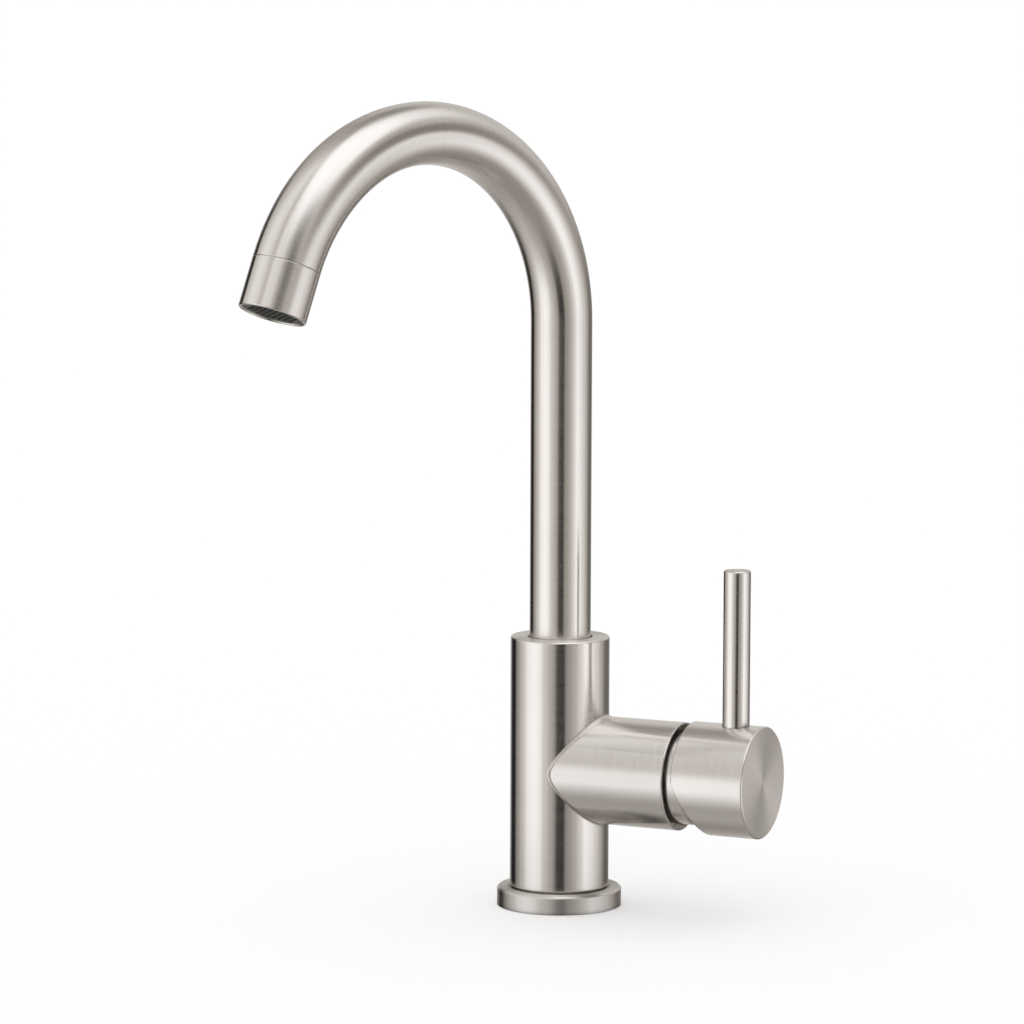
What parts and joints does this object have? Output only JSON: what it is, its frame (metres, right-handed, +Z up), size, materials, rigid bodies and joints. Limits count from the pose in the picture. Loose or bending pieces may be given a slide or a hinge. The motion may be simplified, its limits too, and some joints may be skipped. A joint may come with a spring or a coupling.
{
  "type": "kitchen faucet",
  "caption": "Single-lever gooseneck bar faucet with a swivelling high-arch spout, a side arm with a joystick handle, an aerator and a deck-mounting shank and nut",
  "frame": {"origin": "centre of the column on the underside of the base flange, which rests on the deck", "axes": "+Z up along the column and the riser, +X out along the side arm to the handle, +Y to the back of the sink"},
  "size_m": [0.1573, 0.1878, 0.3885],
  "materials": {
    "brushed_nickel": "satin",
    "brass": "machined",
    "rubber": "matte",
    "white_plastic": "matte",
    "dark_plastic": "satin",
    "grey_plastic": "matte",
    "red_plastic": "satin",
    "ceramic": "polished",
    "stainless_steel": "satin",
    "black_steel": "black oxide"
  },
  "bodies": {
    "faucet_body": {"body": "brushed_nickel", "base_flange": "brushed_nickel", "base_gasket": "rubber", "mounting_shank": "brass", "rubber_washer": "rubber", "steel_washer": "stainless_steel", "mounting_nut": "brass", "spout_thrust_washer": "white_plastic", "cartridge_base": "white_plastic", "base_port_seals": "rubber", "disc_port_seals": "rubber", "fixed_disc": "ceramic", "cartridge_housing": "white_plastic", "cartridge_nut": "brass", "bonnet_ring": "brushed_nickel", "limit_ring": "red_plastic"},
    "spout": {"spout_tube": "brushed_nickel", "spout_bush": "brass", "spout_glide_rings": "white_plastic", "spout_o_rings": "rubber", "spout_snap_ring": "stainless_steel", "outlet_insert": "brass", "aerator_housing": "brushed_nickel", "aerator_gasket": "rubber", "inlet_screen": "stainless_steel", "aerator_diffuser": "dark_plastic", "aerator_grille": "dark_plastic"},
    "turret": {"cartridge_rotor": "white_plastic", "stem_pivot_pin": "stainless_steel"},
    "handle": {"cartridge_stem": "brass", "handle_hub": "brushed_nickel", "handle_lever": "brushed_nickel", "handle_set_screw": "black_steel", "set_screw_plug": "grey_plastic"},
    "valve_disc": {"moving_disc": "ceramic", "disc_carrier": "dark_plastic"}
  },
  "joints": [
    {"name": "spout_swivel", "type": "hinge", "parent": "faucet_body", "child": "spout", "pos_m": [0, 0, 0.09], "axis": [0, 0, 1], "continuous": true},
    {"name": "handle_rotate", "type": "hinge", "parent": "faucet_body", "child": "turret", "pos_m": [0.05, 0, 0.057], "axis": [1, 0, 0], "range_deg": [-50, 50]},
    {"name": "handle_tilt", "type": "hinge", "parent": "turret", "child": "handle", "pos_m": [0.05, 0, 0.057], "axis": [0, 1, 0], "range_deg": [0, 23]},
    {"name": "disc_slide", "type": "slide", "parent": "turret", "child": "valve_disc", "axis": [0, 0, 1], "range_m": [0, 0.00514]}
  ],
  "couplings": [
    {"joint": "disc_slide", "follows": "handle_tilt", "m_per_rad": 0.0128}
  ]
}
